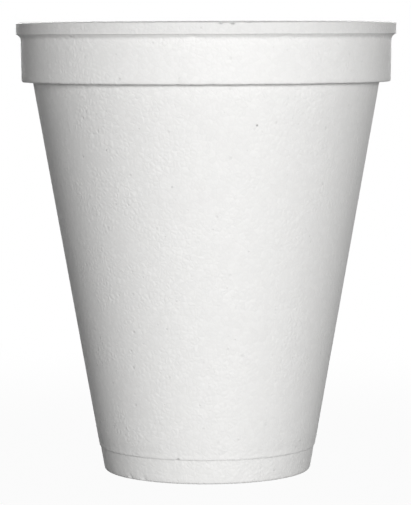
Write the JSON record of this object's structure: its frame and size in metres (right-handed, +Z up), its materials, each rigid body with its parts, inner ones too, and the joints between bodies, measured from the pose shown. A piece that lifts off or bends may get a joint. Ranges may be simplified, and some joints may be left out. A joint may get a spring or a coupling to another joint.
{
  "type": "foam cup",
  "caption": "Tapered white foam drinking cup, moulded in one piece, with a lip that a lid clips over, a stacking band under it and a recessed foot.",
  "frame": {"origin": "middle of the foot, on the surface that the cup stands on", "axes": "+Z up, along the cup's axis towards its mouth"},
  "size_m": [0.092, 0.092, 0.109],
  "materials": {
    "foam": "white expanded polystyrene, satin, with the fused beads showing faintly"
  },
  "bodies": {
    "root": {"cup": "foam"}
  },
  "joints": []
}
